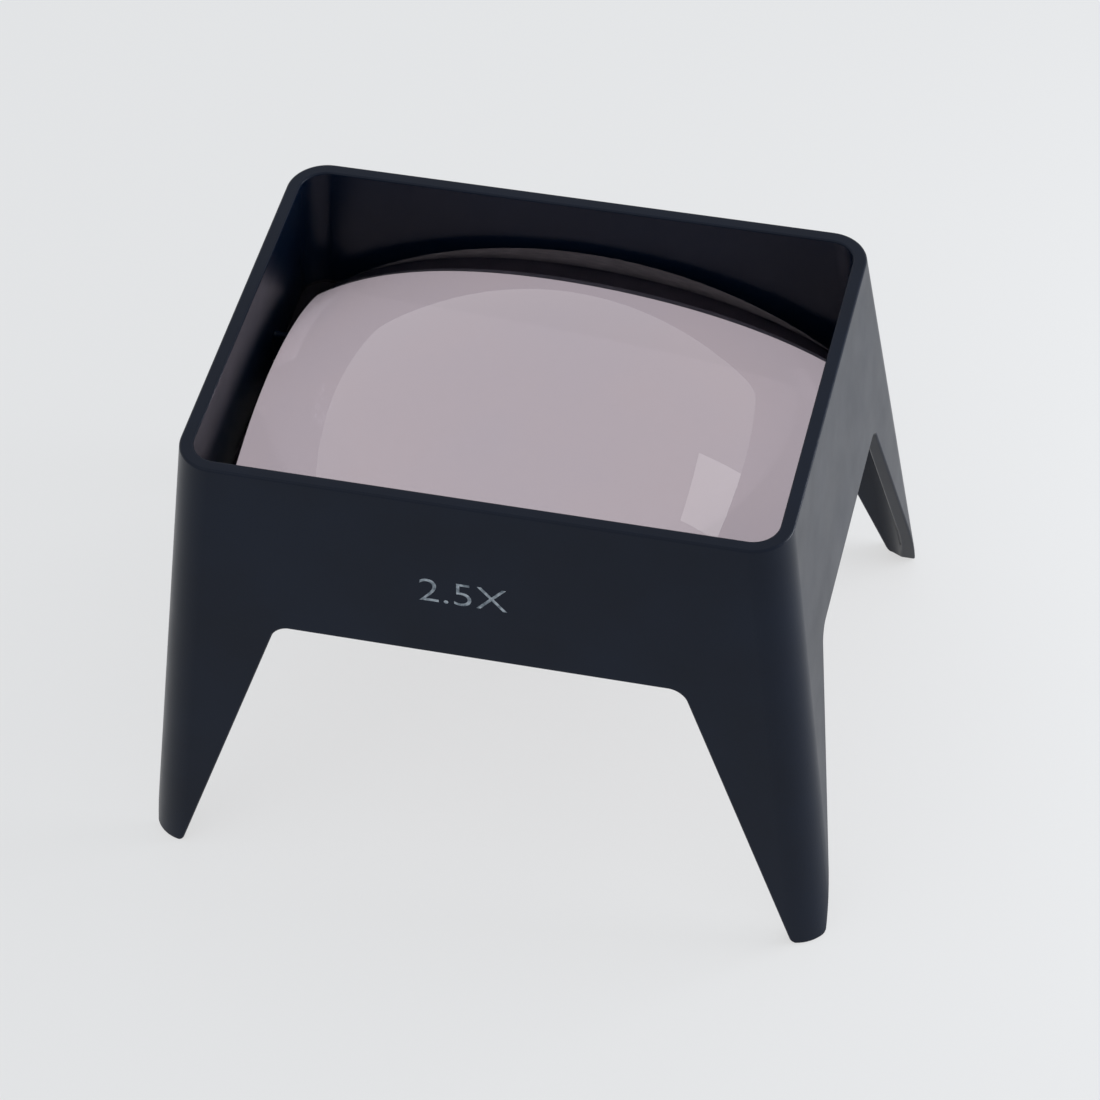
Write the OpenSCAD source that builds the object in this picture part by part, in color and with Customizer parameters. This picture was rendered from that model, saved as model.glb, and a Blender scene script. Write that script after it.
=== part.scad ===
// Reading magnifier on a fixed-focus stand: a tapered moulded stand with four
// legs, a thick plano-convex lens and the frame that holds the lens from below.
// Origin: centre of the footprint, on the table. +Z up, +X along the long side.
// Depths are measured down from the rim.

/* [Rim and walls] */
// Room between the lens body and each end wall, at the rim
end_room = 1; // [0.5:0.1:6]
// Room between the lens body and each side wall, at the rim
side_room = 0; // [0:0.1:6]
// Height of the rim above the table
stand_height = 89.6; // [78:0.2:110]
// Thickness of the moulded walls
wall = 2.5; // [1.8:0.1:2.8]
// Outside radius of the four upright corners
corner_radius = 7.2; // [6:0.2:10]
// Lean of the end walls from upright, in degrees
end_splay = 6.6; // [5:0.1:8]
// Lean of the side walls from upright, in degrees
side_splay = 6.8; // [5:0.1:8]

/* [Arches and legs] */
// Depth from the rim to the top of the arches
skirt_depth = 33.3; // [31.8:0.1:38]
// Width of a leg seen from the side, at the top of the arches
leg_top_x = 21; // [14:0.2:24]
// Width of a leg seen from the side, on the table
leg_foot_x = 6.6; // [5:0.1:9]
// Width of a leg seen from the end, at the top of the arches
leg_top_y = 18.9; // [14:0.1:24]
// Width of a leg seen from the end, on the table
leg_foot_y = 3.9; // [3.5:0.1:9]
// Radius in the top corners of the arches
arch_fillet = 3.5; // [1:0.25:6]
// Radius on the inner edge of each foot
toe_radius = 1.5; // [0.4:0.1:1.8]

/* [Lens] */
// Length of the straight-sided lens body, along X
lens_length = 100; // [90:0.5:112]
// Width of the straight-sided lens body, along Y
lens_width = 75; // [66:0.5:84]
// Radius of the lens body's upright corners
lens_corner = 5; // [3:0.5:8]
// Radius of curvature of the domed face
lens_curvature = 86; // [76:0.5:100]
// Depth of the crown of the dome below the rim
crown_depth = 2.6; // [0:0.1:4]
// Thickness of the flange around the foot of the lens
flange = 1.5; // [1.2:0.1:2]

/* [Retaining frame] */
// Thickness of the frame, which ends level with the tops of the arches
frame_thickness = 1.65; // [1.4:0.05:2.2]
// Ledge under the long sides of the lens body
ledge_side = 3.25; // [2:0.25:6]
// Ledge under the short sides of the lens body
ledge_end = 0.5; // [0.25:0.25:4]
// Corner radius of the reading window
window_corner = 2; // [1:0.5:5]
// Length of each snap tab
tab_length = 8; // [5:0.5:12]
// Height of each snap tab
tab_height = 0.7; // [0.5:0.05:0.8]
// How far each snap tab reaches into the wall
tab_bite = 0.5; // [0.3:0.05:0.7]
// Snap tabs on each long side, this far either side of the middle
tab_spread = 34; // [20:1:40]

/* [Locating ribs] */
// Thickness of each rib
rib_thickness = 1.2; // [0.8:0.1:2]
// Height of each rib above the lens flange
rib_height = 7; // [4:0.5:8]
// Ribs on the side walls, this far either side of the middle
rib_spread_x = 27; // [15:1:38]
// Ribs on the end walls, this far either side of the middle
rib_spread_y = 18; // [8:1:26]

/* [Fits] */
// Clearance around the lens and the frame
fit_gap = 0.2; // [0.1:0.05:0.3]
// Clearance between the lens flange and the ends of the ribs
flange_gap = 0.05; // [0.02:0.01:0.1]

/* [Hidden] */
$fn = 96;

rim_length = lens_length + 2 * (end_room + wall);
rim_width = lens_width + 2 * (side_room + wall);
over = 1;
reach = 2 * (rim_length + stand_height);
end_lean = tan(end_splay);
side_lean = tan(side_splay);
seat_depth = skirt_depth - frame_thickness;
rib_end_depth = seat_depth - flange - flange_gap;
rib_root = 0.4;
tab_root = 1.5;
tab_drop = 0.15;
tab_depth = seat_depth + tab_drop;
waste_margin = 3;

// Outside half length and half width of the walls at a depth below the rim
function half_x(depth) = rim_length / 2 + depth * end_lean;
function half_y(depth) = rim_width / 2 + depth * side_lean;
function level(depth) = stand_height - depth;

// Rounded rectangle, centred
module rounded_plate(length, width, radius) {
    square([length, width - 2 * radius], center = true);
    square([length - 2 * radius, width], center = true);
    for (x = [-1, 1], y = [-1, 1])
        translate([x * (length / 2 - radius), y * (width / 2 - radius)])
            circle(r = radius);
}

// What is cut off one upright corner so that it becomes round.
// The rounding follows the leaning corner, tangent to both walls.
module corner_waste(radius, inset) {
    tilt = atan(sqrt(end_lean * end_lean + side_lean * side_lean));
    turn = 180 + atan2(side_lean, end_lean);
    end_norm = sqrt(1 + end_lean * end_lean);
    side_norm = sqrt(1 + side_lean * side_lean);
    to_end = [(cos(tilt) * cos(turn) - end_lean * sin(tilt)) / end_norm, -sin(turn) / end_norm];
    to_side = [(cos(tilt) * sin(turn) - side_lean * sin(tilt)) / side_norm, cos(turn) / side_norm];
    out = radius + waste_margin;
    translate([half_x(0) - inset - radius * end_norm, half_y(0) - inset - radius * side_norm, level(0)])
        rotate([0, tilt, turn])
            linear_extrude(height = reach, center = true)
                difference() {
                    polygon([[0, 0], to_end * out, (to_end + to_side) * out, to_side * out]);
                    circle(r = radius);
                }
}

// The leaning walls as one solid block between two depths, moved in by inset
module leaning_block(from_depth, to_depth, inset) {
    difference() {
        intersection() {
            rotate([90, 0, 0])
                linear_extrude(height = reach, center = true)
                    polygon([
                        [half_x(from_depth) - inset, level(from_depth)],
                        [half_x(to_depth) - inset, level(to_depth)],
                        [inset - half_x(to_depth), level(to_depth)],
                        [inset - half_x(from_depth), level(from_depth)]
                    ]);
            rotate([90, 0, 90])
                linear_extrude(height = reach, center = true)
                    polygon([
                        [half_y(from_depth) - inset, level(from_depth)],
                        [half_y(to_depth) - inset, level(to_depth)],
                        [inset - half_y(to_depth), level(to_depth)],
                        [inset - half_y(from_depth), level(from_depth)]
                    ]);
        }
        for (x = [0, 1], y = [0, 1])
            mirror([x, 0, 0])
                mirror([0, y, 0])
                    corner_waste(corner_radius - inset, inset);
    }
}

// Lean of a leg's inner edge from upright, for an arch that widens downwards
function leg_slope(top_half, foot_half) = atan((foot_half - top_half) / level(skirt_depth));

// Outline of one arch: straight inner edges of the legs and filleted top corners
module arch_outline(top_half, foot_half) {
    rise = level(skirt_depth);
    slope = leg_slope(top_half, foot_half);
    along = [sin(slope), -cos(slope)];
    fillet_run = arch_fillet / tan(45 + slope / 2);
    foot_out = foot_half + over * tan(slope);
    difference() {
        polygon([[top_half, rise], [foot_out, -over], [-foot_out, -over], [-top_half, rise]]);
        for (side = [0, 1])
            mirror([side, 0])
                difference() {
                    polygon([
                        [top_half - fillet_run, rise + over],
                        [top_half + over, rise + over],
                        [top_half + over, rise - fillet_run * cos(slope)],
                        [top_half, rise] + along * fillet_run,
                        [top_half - fillet_run, rise - arch_fillet]
                    ]);
                    translate([top_half - fillet_run, rise - arch_fillet])
                        circle(r = arch_fillet);
                }
    }
}

// What is cut off the inner corner of a foot so that it stands on a rounded toe
module toe_outline(top_half, foot_half) {
    slope = leg_slope(top_half, foot_half);
    toe_run = toe_radius / tan(45 + slope / 2);
    difference() {
        polygon([
            [foot_half + toe_run, -over],
            [foot_half + toe_run, toe_radius],
            [foot_half - toe_run * sin(slope), toe_run * cos(slope)],
            [foot_half - toe_run * sin(slope) - over, toe_run * cos(slope)],
            [foot_half - toe_run * sin(slope) - over, -over]
        ]);
        translate([foot_half + toe_run, toe_radius])
            circle(r = toe_radius);
    }
}

// The arch and its toes run straight through both walls, along Y
module arch_cut(top_half, foot_half) {
    rotate([90, 0, 0])
        linear_extrude(height = reach, center = true)
            arch_outline(top_half, foot_half);
    for (side = [0, 1])
        mirror([side, 0, 0])
            rotate([90, 0, 0])
                linear_extrude(height = reach, center = true)
                    toe_outline(top_half, foot_half);
}

// Upright rib that centres the lens body; its lower end stops the flange
module locating_rib(lens_half, wall_half) {
    deep = wall_half + rib_root - lens_half - fit_gap;
    translate([lens_half + fit_gap, -rib_thickness / 2, level(rib_end_depth)])
        cube([deep, rib_thickness, rib_height]);
}

// All the ribs, two on each wall
module locating_ribs() {
    for (x = [0, 1], side = [-1, 1])
        mirror([x, 0, 0])
            translate([0, side * rib_spread_y, 0])
                locating_rib(lens_length / 2, half_x(rib_end_depth) - wall);
    for (y = [0, 1], side = [-1, 1])
        mirror([0, y, 0])
            translate([side * rib_spread_x, 0, 0])
                rotate([0, 0, 90])
                    locating_rib(lens_width / 2, half_y(rib_end_depth) - wall);
}

// Snap tabs of the frame, and with a gap the notches that they click into
module snap_tabs(gap) {
    long = tab_length + 2 * gap;
    high = tab_height + gap;
    foot_level = level(tab_depth + tab_height) - gap / 2;
    for (x = [0, 1])
        mirror([x, 0, 0])
            translate([half_x(tab_depth) - wall - tab_root, -long / 2, foot_level])
                cube([tab_root + tab_bite + gap, long, high]);
    for (y = [0, 1], side = [-1, 1])
        mirror([0, y, 0])
            translate([side * tab_spread - long / 2, half_y(tab_depth) - wall - tab_root, foot_level])
                cube([long, tab_root + tab_bite + gap, high]);
}

// One-piece stand: leaning walls with four arches that leave four tapered legs
module stand() {
    color([0.12, 0.14, 0.18]) {
        difference() {
            leaning_block(0, stand_height, 0);
            leaning_block(-over, stand_height + over, wall);
            arch_cut(half_x(skirt_depth) - leg_top_x, half_x(stand_height) - leg_foot_x);
            rotate([0, 0, 90])
                arch_cut(half_y(skirt_depth) - leg_top_y, half_y(stand_height) - leg_foot_y);
            snap_tabs(fit_gap);
        }
        locating_ribs();
    }
}

// Thick clear lens: domed above, flat below, with a thin flange at its foot
module lens() {
    color([0.80, 0.76, 0.80, 0.4]) {
        intersection() {
            translate([0, 0, level(seat_depth)])
                linear_extrude(height = seat_depth - crown_depth + over)
                    rounded_plate(lens_length, lens_width, lens_corner);
            translate([0, 0, level(crown_depth) - lens_curvature])
                sphere(r = lens_curvature);
        }
        leaning_block(seat_depth - flange, seat_depth, wall + fit_gap);
    }
}

// Frame that snaps in from below; the flat face of the lens rests on it
module retaining_frame() {
    color([0.10, 0.11, 0.13])
        difference() {
            union() {
                leaning_block(seat_depth, skirt_depth, wall + fit_gap);
                snap_tabs(0);
            }
            translate([0, 0, level(skirt_depth) - over])
                linear_extrude(height = frame_thickness + 2 * over)
                    rounded_plate(
                        lens_length - 2 * ledge_end,
                        lens_width - 2 * ledge_side,
                        window_corner
                    );
        }
}

stand();
lens();
retaining_frame();
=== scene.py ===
import math

import bpy
from mathutils import Matrix, Vector


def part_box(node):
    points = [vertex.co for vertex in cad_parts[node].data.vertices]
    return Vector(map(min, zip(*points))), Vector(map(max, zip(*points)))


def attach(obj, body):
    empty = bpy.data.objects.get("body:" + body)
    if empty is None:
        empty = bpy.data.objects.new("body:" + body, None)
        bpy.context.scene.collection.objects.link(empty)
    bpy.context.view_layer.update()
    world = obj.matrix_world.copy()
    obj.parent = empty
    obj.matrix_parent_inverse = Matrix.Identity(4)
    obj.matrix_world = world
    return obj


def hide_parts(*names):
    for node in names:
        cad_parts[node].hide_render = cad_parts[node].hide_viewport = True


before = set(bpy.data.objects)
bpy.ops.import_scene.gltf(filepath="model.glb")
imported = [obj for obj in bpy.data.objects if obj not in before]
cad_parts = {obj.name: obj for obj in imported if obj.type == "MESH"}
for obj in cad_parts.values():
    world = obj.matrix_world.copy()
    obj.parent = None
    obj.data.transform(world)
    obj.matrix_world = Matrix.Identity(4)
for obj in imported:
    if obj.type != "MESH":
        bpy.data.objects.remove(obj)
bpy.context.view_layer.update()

# ---------------------------------------------------------------- Camera
# A long lens looks down on the front right corner of the magnifier, tipped a
# little anticlockwise.
view_azimuth = math.radians(15.459)
view_elevation = math.radians(46.731)
view_roll = math.radians(-2.750)
camera_place = (0.134170, -0.478137, 0.565604)
focal_length, film_width = 129.012, 36

camera_data = bpy.data.cameras.new("camera")
camera_data.sensor_width = film_width
camera_data.lens = focal_length
camera_data.clip_start = 0.01
camera_data.clip_end = 50
camera = bpy.data.objects.new("camera", camera_data)
camera.matrix_world = (
    Matrix.Translation(camera_place)
    @ Matrix.Rotation(view_azimuth, 4, "Z")
    @ Matrix.Rotation(math.pi / 2 - view_elevation, 4, "X")
    @ Matrix.Rotation(view_roll, 4, "Z")
)
bpy.context.scene.collection.objects.link(camera)
bpy.context.scene.camera = camera
bpy.context.scene.view_settings.view_transform = "Standard"

# ----------------------------------------------------------------- Stand
# One injection moulding in dark blue-black plastic. Four walls lean outwards
# from the rim, an arch in each wall leaves four tapered corner legs, and ribs
# inside the walls centre the lens.
wall = 0.0025
corner_radius = 0.0072
end_splay = math.radians(6.6)
side_splay = math.radians(6.8)
rim_half_x = 0.107 / 2
rim_half_y = 0.080 / 2
rim_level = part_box("stand")[1].z
skirt_depth = 0.0333
leg_top_x, leg_foot_x = 0.0210, 0.0066
leg_top_y, leg_foot_y = 0.0189, 0.0039
arch_fillet = 0.0035
toe_radius = 0.0015
toe_top = 0.005
edge_round = 0.00045
lens_half_x, lens_half_y = 0.050, 0.0375
frame_thickness = 0.00165
seat_depth = skirt_depth - frame_thickness
flange = 0.0015
fit_gap, flange_gap = 0.0002, 0.00005
rib_foot_depth = seat_depth - flange - flange_gap
rib_thickness, rib_height, rib_root = 0.0012, 0.0070, 0.0004
rib_spread_x, rib_spread_y = 0.027, 0.018
tab_length, tab_height, tab_root, tab_bite = 0.0080, 0.0007, 0.0015, 0.0005
tab_drop = 0.00015
tab_depth = seat_depth + tab_drop
tab_spread = 0.034
sharp_angle, crease_angle = 30, 40
sliver, speck, hair = 0.00022, 0.00001, 0.000001
over = 0.005
blue_black, worn_blue = (0.0006, 0.0040, 0.0130), (0.0018, 0.0062, 0.0175)


def half_x(depth):
    """Outside half length of the walls at a depth below the rim."""
    return rim_half_x + depth * math.tan(end_splay)


def half_y(depth):
    """Outside half width of the walls at a depth below the rim."""
    return rim_half_y + depth * math.tan(side_splay)


def level(depth):
    """Height above the table of a depth below the rim."""
    return rim_level - depth


def deselect():
    bpy.ops.object.select_all(action="DESELECT")


def select_parts(piece, kind, chosen):
    """In edit mode, selects the vertices, edges or faces that chosen() says."""
    bpy.ops.mesh.select_mode(type=kind)
    bpy.ops.mesh.select_all(action="DESELECT")
    bpy.ops.object.mode_set(mode="OBJECT")
    mesh = piece.data
    for part in {"VERT": mesh.vertices, "EDGE": mesh.edges, "FACE": mesh.polygons}[kind]:
        part.select = chosen(part)
    bpy.ops.object.mode_set(mode="EDIT")


def edge_ends(piece, edge):
    return [piece.data.vertices[i].co for i in edge.vertices]


def block(name, low, high, top_low=None, top_high=None):
    """A box from a primitive cube. With a second pair of corners its top differs from its foot."""
    deselect()
    bpy.ops.mesh.primitive_cube_add(size=1)
    piece = bpy.context.object
    piece.name = piece.data.name = name
    low, high = Vector(low), Vector(high)
    piece.scale = high - low
    piece.location = (low + high) / 2
    bpy.ops.object.transform_apply(location=True, rotation=True, scale=True)
    if top_low is not None:
        bpy.ops.object.mode_set(mode="EDIT")
        select_parts(piece, "FACE", lambda face: face.normal.z > 0.5)
        taper_x = (top_high[0] - top_low[0]) / (high.x - low.x)
        taper_y = (top_high[1] - top_low[1]) / (high.y - low.y)
        bpy.ops.transform.resize(
            value=(taper_x, taper_y, 1),
            center_override=((low.x + high.x) / 2, (low.y + high.y) / 2, high.z),
        )
        bpy.ops.object.mode_set(mode="OBJECT")
    return piece


def round_edges(piece, radius, segments, chosen):
    """Bevels the chosen edges of a block to a radius."""
    bpy.ops.object.mode_set(mode="EDIT")
    select_parts(piece, "EDGE", lambda edge: chosen(*edge_ends(piece, edge)))
    bpy.ops.mesh.bevel(
        offset_type="OFFSET", offset=radius, segments=segments, profile=0.5, affect="EDGES"
    )
    bpy.ops.object.mode_set(mode="OBJECT")


def upright(a, b):
    """Whether the edge between two points runs mostly up and down."""
    return abs(a.z - b.z) > 0.8 * (a - b).length


def leaning_block(name, from_depth, to_depth, inset, segments=16):
    """The leaning walls as a solid block between two depths, moved in by inset."""
    top_x, top_y = half_x(from_depth) - inset, half_y(from_depth) - inset
    foot_x, foot_y = half_x(to_depth) - inset, half_y(to_depth) - inset
    piece = block(
        name,
        (-foot_x, -foot_y, level(to_depth)),
        (foot_x, foot_y, level(from_depth)),
        (-top_x, -top_y),
        (top_x, top_y),
    )
    turn = math.acos(math.sin(end_splay) * math.sin(side_splay))
    round_edges(piece, (corner_radius - inset) * math.tan(turn / 2), segments, upright)
    return piece


def finish_with(piece, kind, **settings):
    """Adds a modifier and applies it."""
    deselect()
    piece.select_set(True)
    bpy.context.view_layer.objects.active = piece
    modifier = piece.modifiers.new(kind.title(), kind)
    for name, value in settings.items():
        setattr(modifier, name, value)
    bpy.ops.object.modifier_apply(modifier=modifier.name)


def combine(piece, other, operation):
    """Cuts, joins or intersects piece with other, and deletes other."""
    finish_with(piece, "BOOLEAN", operation=operation, solver="EXACT", object=other)
    bpy.data.objects.remove(other)


def smooth(piece, angle):
    """Smooth shading below an angle, with the normals of large faces kept flat."""
    deselect()
    piece.select_set(True)
    bpy.context.view_layer.objects.active = piece
    bpy.ops.object.shade_smooth_by_angle(angle=math.radians(angle))
    finish_with(piece, "WEIGHTED_NORMAL", mode="FACE_AREA", weight=50, keep_sharp=True)


def soften(piece, width, segments):
    """Rounds every remaining sharp edge and shades the piece smooth."""
    finish_with(
        piece,
        "BEVEL",
        width=width,
        segments=segments,
        limit_method="ANGLE",
        angle_limit=math.radians(sharp_angle),
        offset_type="OFFSET",
        use_clamp_overlap=False,
        loop_slide=False,
        miter_outer="MITER_ARC",
    )
    smooth(piece, crease_angle)


def arch(name, top_half, foot_half):
    """Cutter for one arch through both walls, along Y, and for the flat feet beside it.

    Its top corners are filleted, and it widens at the foot round the toes.
    """
    reach = 2 * rim_half_x
    slope = (foot_half - top_half) / level(skirt_depth)
    low_half = foot_half + over * slope
    cutter = block(
        name,
        (-low_half, -reach, -over),
        (low_half, reach, level(skirt_depth)),
        (-top_half, -reach),
        (top_half, reach),
    )
    floor = block("floor", (-reach, -1.5 * reach, -2 * over), (reach, 1.5 * reach, 0))
    combine(cutter, floor, "UNION")
    turn = math.pi / 2 - math.atan(slope)
    for radius, segments, from_level, to_level in (
        (arch_fillet, 10, level(skirt_depth) - over, level(0)),
        (toe_radius, 6, -over / 2, over / 2),
    ):
        round_edges(
            cutter,
            radius * math.tan(turn / 2),
            segments,
            lambda a, b: abs(a.x - b.x) < hair
            and abs(a.x) < foot_half + over / 10
            and from_level < min(a.z, b.z)
            and max(a.z, b.z) < to_level,
        )
    return cutter


def merge_close(piece, distance, top_level):
    """Merges the vertices below a level that lie closer than a distance."""
    deselect()
    piece.select_set(True)
    bpy.context.view_layer.objects.active = piece
    bpy.ops.object.mode_set(mode="EDIT")
    select_parts(piece, "VERT", lambda vertex: vertex.co.z < top_level)
    bpy.ops.mesh.remove_doubles(threshold=distance)
    bpy.ops.object.mode_set(mode="OBJECT")


def turned_copy(piece, name, matrix):
    """A copy of a piece with its own mesh, moved by a matrix."""
    copy = bpy.data.objects.new(name, piece.data.copy())
    copy.data.transform(matrix)
    bpy.context.scene.collection.objects.link(copy)
    return copy


def join(pieces):
    """Makes one object of several that do not touch."""
    deselect()
    for piece in pieces:
        piece.select_set(True)
    bpy.context.view_layer.objects.active = pieces[0]
    bpy.ops.object.join()
    return pieces[0]


def around(name, end_piece, side_piece, end_places, side_places):
    """Copies of a block on both end walls and of another on both side walls, as one object."""
    copies = []
    for half_turn in (0, math.pi):
        for piece, places, turn in (
            (end_piece, end_places, half_turn),
            (side_piece, side_places, half_turn + math.pi / 2),
        ):
            for place in places:
                put = Matrix.Rotation(turn, 4, "Z") @ Matrix.Translation((0, place, 0))
                copies.append(turned_copy(piece, name, put))
    for used in (end_piece, side_piece):
        bpy.data.objects.remove(used)
    return join(copies)


def rib(name, lens_half, wall_half):
    """Upright rib on the +X wall that centres the lens."""
    foot = level(rib_foot_depth)
    return block(
        name,
        (lens_half + fit_gap, -rib_thickness / 2, foot),
        (wall_half + rib_root, rib_thickness / 2, foot + rib_height),
    )


def snap_tab(name, wall_half, gap):
    """Snap tab on the +X side of the frame, or, with a gap, the notch that it clicks into."""
    foot = level(tab_depth + tab_height) - gap / 2
    half = tab_length / 2 + gap
    return block(
        name,
        (wall_half - tab_root, -half, foot),
        (wall_half + tab_bite + gap, half, foot + tab_height + gap),
    )


# The walls start as one block without top or bottom, cut into bands that keep
# the faces round the arches short
stand = leaning_block("stand_shell", -over, rim_level + over, 0)
bpy.ops.object.mode_set(mode="EDIT")
select_parts(stand, "FACE", lambda face: abs(face.normal.z) > 0.9)
bpy.ops.mesh.delete(type="FACE")
bpy.ops.object.mode_set(mode="OBJECT")
finish_with(stand, "SOLIDIFY", thickness=wall, offset=-1, use_even_offset=True)
bpy.ops.object.mode_set(mode="EDIT")
for band_level in (0.006, 0.030, level(skirt_depth) + 0.002):
    bpy.ops.mesh.select_all(action="SELECT")
    bpy.ops.mesh.bisect(plane_co=(0, 0, band_level), plane_no=(0, 0, 1))
bpy.ops.mesh.select_all(action="SELECT")
bpy.ops.mesh.bisect(
    plane_co=(0, 0, rim_level), plane_no=(0, 0, 1), use_fill=True, clear_outer=True
)
bpy.ops.object.mode_set(mode="OBJECT")

long_arch = arch("long_arch", half_x(skirt_depth) - leg_top_x, half_x(rim_level) - leg_foot_x)
short_arch = arch("short_arch", half_y(skirt_depth) - leg_top_y, half_y(rim_level) - leg_foot_y)
short_arch.data.transform(Matrix.Rotation(math.pi / 2, 4, "Z"))
combine(stand, long_arch, "DIFFERENCE")
combine(stand, short_arch, "DIFFERENCE")
ribs = around(
    "locating_ribs",
    rib("end_rib", lens_half_x, half_x(rib_foot_depth) - wall),
    rib("side_rib", lens_half_y, half_y(rib_foot_depth) - wall),
    (-rib_spread_y, rib_spread_y),
    (-rib_spread_x, rib_spread_x),
)
merge_close(stand, sliver, toe_top)
combine(stand, ribs, "UNION")
soften(stand, edge_round, 3)
merge_close(stand, speck, toe_top)
# The rounded toes stand flat on the table
bpy.ops.object.mode_set(mode="EDIT")
select_parts(stand, "VERT", lambda vertex: vertex.co.z < 0)
bpy.ops.transform.resize(value=(1, 1, 0), center_override=(0, 0, 0))
bpy.ops.object.mode_set(mode="OBJECT")
notches = around(
    "notches",
    snap_tab("end_notch", half_x(tab_depth) - wall, fit_gap),
    snap_tab("side_notch", half_y(tab_depth) - wall, fit_gap),
    (0,),
    (-tab_spread, tab_spread),
)
combine(stand, notches, "DIFFERENCE")
smooth(stand, crease_angle)


def finish_of(piece, name, ior):
    """Adds a new material to a piece, and returns its nodes and its shader."""
    material = bpy.data.materials.new(name)
    material.use_nodes = True
    surface = material.node_tree.nodes["Principled BSDF"]
    surface.inputs["IOR"].default_value = ior
    piece.data.materials.append(material)
    return material.node_tree, surface


def patches(tree, per_metre, detail=2):
    """Noise fixed to the piece, with so many patches to a metre."""
    place = tree.nodes.new("ShaderNodeTexCoord")
    noise = tree.nodes.new("ShaderNodeTexNoise")
    noise.inputs["Scale"].default_value = per_metre
    noise.inputs["Detail"].default_value = detail
    tree.links.new(place.outputs["Object"], noise.inputs["Vector"])
    return noise.outputs["Fac"]


def vary_colour(tree, surface, pattern, first, second):
    """Lets the colour wander between two shades."""
    shades = tree.nodes.new("ShaderNodeValToRGB")
    low, high = shades.color_ramp.elements
    low.position, high.position = 0.35, 0.65
    low.color, high.color = (*first, 1), (*second, 1)
    tree.links.new(pattern, shades.inputs["Fac"])
    tree.links.new(shades.outputs["Color"], surface.inputs["Base Color"])


def vary_roughness(tree, surface, pattern, smoothest, roughest):
    """Lets the roughness wander between two values."""
    limits = tree.nodes.new("ShaderNodeMapRange")
    limits.inputs["From Min"].default_value = 0.3
    limits.inputs["From Max"].default_value = 0.7
    limits.inputs["To Min"].default_value = smoothest
    limits.inputs["To Max"].default_value = roughest
    tree.links.new(pattern, limits.inputs["Value"])
    tree.links.new(limits.outputs["Result"], surface.inputs["Roughness"])


def raise_grain(tree, surface, pattern, depth):
    """Turns a pattern into a fine relief of a depth in metres."""
    relief = tree.nodes.new("ShaderNodeBump")
    relief.inputs["Distance"].default_value = depth
    tree.links.new(pattern, relief.inputs["Height"])
    tree.links.new(relief.outputs["Normal"], surface.inputs["Normal"])


tree, gloss = finish_of(stand, "moulded_plastic", ior=1.28)
vary_colour(tree, gloss, patches(tree, per_metre=45, detail=4), blue_black, worn_blue)
vary_roughness(tree, gloss, patches(tree, per_metre=120, detail=5), smoothest=0.30, roughest=0.35)
raise_grain(tree, gloss, patches(tree, per_metre=2500), depth=0.000008)
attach(stand, "root")
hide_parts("stand")

# ------------------------------------------------------------ Power mark
# The lens's power in plain pale figures, pad printed on the front wall. The
# ink is a thin film that has worn through in places.
mark_text = "2.5X"
mark_depth = 0.0191
mark_centre = -0.00215
mark_length, mark_height = 0.0155, 0.0049
stroke_trim, stroke_weld = 0.012, 0.0001
ink_film = 0.00003
thin_ink, thick_ink = (0.10, 0.12, 0.14), (0.42, 0.44, 0.46)

deselect()
bpy.ops.object.text_add()
mark = bpy.context.object
mark.name = mark.data.name = "power_mark"
mark.data.body = mark_text
mark.data.offset = -stroke_trim
mark.data.extrude = 0.5
bpy.ops.object.convert(target="MESH")
bpy.ops.object.mode_set(mode="EDIT")
bpy.ops.mesh.select_all(action="SELECT")
bpy.ops.mesh.remove_doubles(threshold=stroke_weld)
bpy.ops.object.mode_set(mode="OBJECT")
points = [vertex.co for vertex in mark.data.vertices]
low = Vector([min(point[i] for point in points) for i in range(3)])
high = Vector([max(point[i] for point in points) for i in range(3)])
to_length, to_height = mark_length / (high.x - low.x), mark_height / (high.y - low.y)
mark.data.transform(
    Matrix.Translation((mark_centre, -half_y(mark_depth), level(mark_depth)))
    @ Matrix.Rotation(math.pi / 2 - side_splay, 4, "X")
    @ Matrix.Diagonal((to_length, to_height, 2 * ink_film, 1))
    @ Matrix.Translation(-(low + high) / 2)
)
tree, ink = finish_of(mark, "worn_ink", ior=1.4)
vary_colour(tree, ink, patches(tree, per_metre=900, detail=3), thin_ink, thick_ink)
vary_roughness(tree, ink, patches(tree, per_metre=700), smoothest=0.45, roughest=0.65)
raise_grain(tree, ink, patches(tree, per_metre=2500), depth=0.000008)
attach(mark, "root")

# ------------------------------------------------------------------ Lens
# A thick plano-convex block of clear acrylic with a faint pink cast: a
# polished dome, straight satin sides, and a thin flange at its foot that rests
# on the retaining frame. Its colour is darkened well beyond the cast, as painted
# shade for the shaded table seen through it.
lens_corner = 0.005
lens_curvature = 0.086
crown_depth = 0.0026
lens_edge_round = 0.0002
dome_sliver = 0.0003
dome_crease = 25
side_tilt = 0.35
# Pink cast plus painted shade: these tints darken the table seen through the lens as if it lay in
# shade
pink_cast_and_painted_shade, grey_cast_and_painted_shade = (0.480, 0.426, 0.482), (0.500, 0.432, 0.477)
# Painted shade: the near-black side colours darken the band seen through the dome along the walls
side_painted_shade_dark, side_painted_shade_pale = (0.035, 0.034, 0.038), (0.050, 0.048, 0.053)

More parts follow.
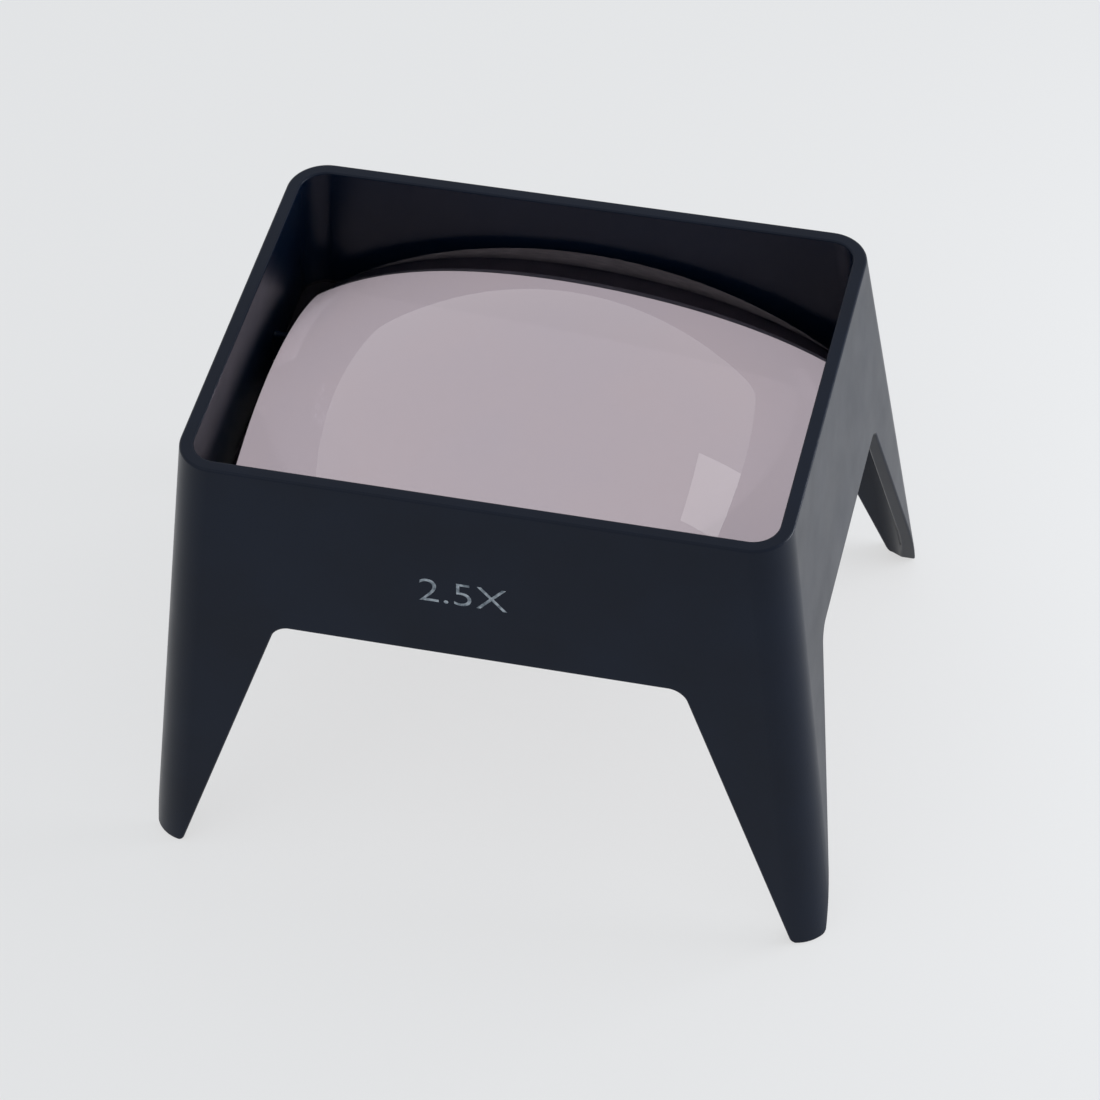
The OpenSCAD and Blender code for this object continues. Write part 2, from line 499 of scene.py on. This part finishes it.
lens = block(
    "lens_block",
    (-lens_half_x, -lens_half_y, level(seat_depth)),
    (lens_half_x, lens_half_y, level(-over)),
)
round_edges(lens, lens_corner, 12, upright)
deselect()
bpy.ops.mesh.primitive_uv_sphere_add(
    segments=256,
    ring_count=200,
    radius=lens_curvature,
    location=(0, 0, level(crown_depth + lens_curvature)),
)
dome = bpy.context.object
bpy.ops.object.transform_apply(location=True, rotation=True, scale=True)
combine(lens, dome, "INTERSECT")
merge_close(lens, dome_sliver, rim_level)
soften(lens, lens_edge_round, 2)
brim = leaning_block("brim", seat_depth - flange, seat_depth, wall + fit_gap, 10)
combine(lens, brim, "UNION")
smooth(lens, dome_crease)

# The lens colour is a pink cast and painted shade for the shaded table beneath
tree, clear = finish_of(lens, "acrylic_tint_and_painted_shade", ior=1.49)
clear.inputs["Transmission Weight"].default_value = 1.0
vary_colour(tree, clear, patches(tree, per_metre=30, detail=3), pink_cast_and_painted_shade, grey_cast_and_painted_shade)
vary_roughness(tree, clear, patches(tree, per_metre=80, detail=4), smoothest=0.0, roughest=0.015)
raise_grain(tree, clear, patches(tree, per_metre=60), depth=0.00001)
tree, satin = finish_of(lens, "satin_acrylic_painted_shade", ior=1.49)
satin.inputs["Transmission Weight"].default_value = 0.3
vary_colour(tree, satin, patches(tree, per_metre=90, detail=3), side_painted_shade_dark, side_painted_shade_pale)
vary_roughness(tree, satin, patches(tree, per_metre=400, detail=3), smoothest=0.6, roughest=0.75)
raise_grain(tree, satin, patches(tree, per_metre=1500), depth=0.00002)
# The straight sides take the satin finish; their near-black colour is painted shade
deselect()
bpy.context.view_layer.objects.active = lens
bpy.ops.object.mode_set(mode="EDIT")
select_parts(lens, "FACE", lambda face: abs(face.normal.z) < side_tilt)
lens.active_material_index = lens.data.materials.find("satin_acrylic_painted_shade")
bpy.ops.object.material_slot_assign()
bpy.ops.object.mode_set(mode="OBJECT")
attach(lens, "root")
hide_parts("lens")

# ------------------------------------------------------- Retaining frame
# A flat matte frame that snaps in under the lens from below and ends level
# with the tops of the arches.
ledge_end, ledge_side = 0.0005, 0.00325
window_half_x, window_half_y = lens_half_x - ledge_end, lens_half_y - ledge_side
window_corner = 0.002
seat_gap = 0.00005
frame_edge_round = 0.0001
matte_dark, matte_pale = (0.100, 0.106, 0.122), (0.122, 0.128, 0.145)

holder = leaning_block("holding_frame", seat_depth + seat_gap, skirt_depth, wall + fit_gap, 10)
tabs = around(
    "snap_tabs",
    snap_tab("end_tab", half_x(tab_depth) - wall, 0),
    snap_tab("side_tab", half_y(tab_depth) - wall, 0),
    (0,),
    (-tab_spread, tab_spread),
)
combine(holder, tabs, "UNION")
window = block(
    "window",
    (-window_half_x, -window_half_y, level(skirt_depth) - over),
    (window_half_x, window_half_y, level(seat_depth) + over),
)
round_edges(window, window_corner, 8, upright)
combine(holder, window, "DIFFERENCE")
soften(holder, frame_edge_round, 2)

tree, dull = finish_of(holder, "matte_plastic", ior=1.45)
vary_colour(tree, dull, patches(tree, per_metre=60, detail=4), matte_dark, matte_pale)
vary_roughness(tree, dull, patches(tree, per_metre=150, detail=4), smoothest=0.52, roughest=0.66)
raise_grain(tree, dull, patches(tree, per_metre=1800), depth=0.00002)
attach(holder, "root")
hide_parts("retaining_frame")

# ------------------------------------------------------- Table and light
# A pale table top in a cool, even room. One soft box stands high behind on the
# right, a small one low beside the right end, and a broad one in front on the
# left.
table_size = 6
table_lit, table_seen = (0.78, 0.78, 0.78, 1), (0.858, 0.850, 0.843, 1)
room_lit, room_seen = (0.80, 0.90, 1, 1), (0.791, 0.791, 0.791, 1)
room_strength = 0.75


def show_backdrop(tree, output, lit, seen, share):
    """Casts light with one shader and is seen as another.

    Rays that came through the lens see only the second, and direct and mirrored
    rays see a share of it, so that the table keeps its shadow.
    """
    nodes, links = tree.nodes, tree.links
    ray = nodes.new("ShaderNodeLightPath")
    outside = nodes.new("ShaderNodeMath")
    amount = nodes.new("ShaderNodeMath")
    amount.operation = "MULTIPLY_ADD"
    amount.inputs[1].default_value = share
    mix = nodes.new("ShaderNodeMixShader")
    links.new(ray.outputs["Is Camera Ray"], outside.inputs[0])
    links.new(ray.outputs["Is Glossy Ray"], outside.inputs[1])
    links.new(outside.outputs[0], amount.inputs[0])
    links.new(ray.outputs["Is Transmission Ray"], amount.inputs[2])
    links.new(amount.outputs[0], mix.inputs["Fac"])
    links.new(lit.outputs[0], mix.inputs[1])
    links.new(seen.outputs[0], mix.inputs[2])
    links.new(mix.outputs[0], output.inputs["Surface"])


deselect()
bpy.ops.mesh.primitive_plane_add(size=table_size, location=(0, 0, 0))
table = bpy.context.object
table.name = "table_top"
pale = bpy.data.materials.new("pale_table")
pale.use_nodes = True
nodes = pale.node_tree.nodes
nodes.clear()
lit = nodes.new("ShaderNodeBsdfDiffuse")
lit.inputs["Color"].default_value = table_lit
seen = nodes.new("ShaderNodeEmission")
seen.inputs["Color"].default_value = table_seen
show_backdrop(pale.node_tree, nodes.new("ShaderNodeOutputMaterial"), lit, seen, share=0.7)
table.data.materials.append(pale)

world = bpy.data.worlds.new("room")
bpy.context.scene.world = world
world.use_nodes = True
nodes = world.node_tree.nodes
nodes.clear()
lit = nodes.new("ShaderNodeBackground")
lit.inputs["Color"].default_value = room_lit
lit.inputs["Strength"].default_value = room_strength
seen = nodes.new("ShaderNodeBackground")
seen.inputs["Color"].default_value = room_seen
show_backdrop(world.node_tree, nodes.new("ShaderNodeOutputWorld"), lit, seen, share=1)


def soft_box(name, place, aim, along, length, width, power, colour=(1, 1, 1)):
    """A soft box that faces a point, with its length along a direction."""
    data = bpy.data.lights.new(name, "AREA")
    data.shape = "RECTANGLE"
    data.size, data.size_y = length, width
    data.energy = power
    data.color = colour
    back = (Vector(place) - Vector(aim)).normalized()
    across = back.cross(Vector(along)).normalized()
    turn = Matrix((across.cross(back), across, back)).transposed()
    lamp = bpy.data.objects.new(name, data)
    lamp.matrix_world = Matrix.Translation(place) @ turn.to_4x4()
    bpy.context.scene.collection.objects.link(lamp)


soft_box(
    "key",
    place=(0.72, 0.40, 0.97),
    aim=(0, 0, 0.07),
    along=(-0.08, 0.40, -0.13),
    length=0.43,
    width=0.27,
    power=0.7,
)
soft_box(
    "side",
    place=(0.35, 0.10, 0.11),
    aim=(0.18, 0, 0),
    along=(0, 1, 0),
    length=0.2,
    width=0.2,
    power=0.95,
    colour=(0.90, 0.94, 1),
)
soft_box(
    "fill",
    place=(-0.7, -0.7, 1.3),
    aim=(0, 0, 0.05),
    along=(1, -1, 0),
    length=0.9,
    width=0.9,
    power=1,
)
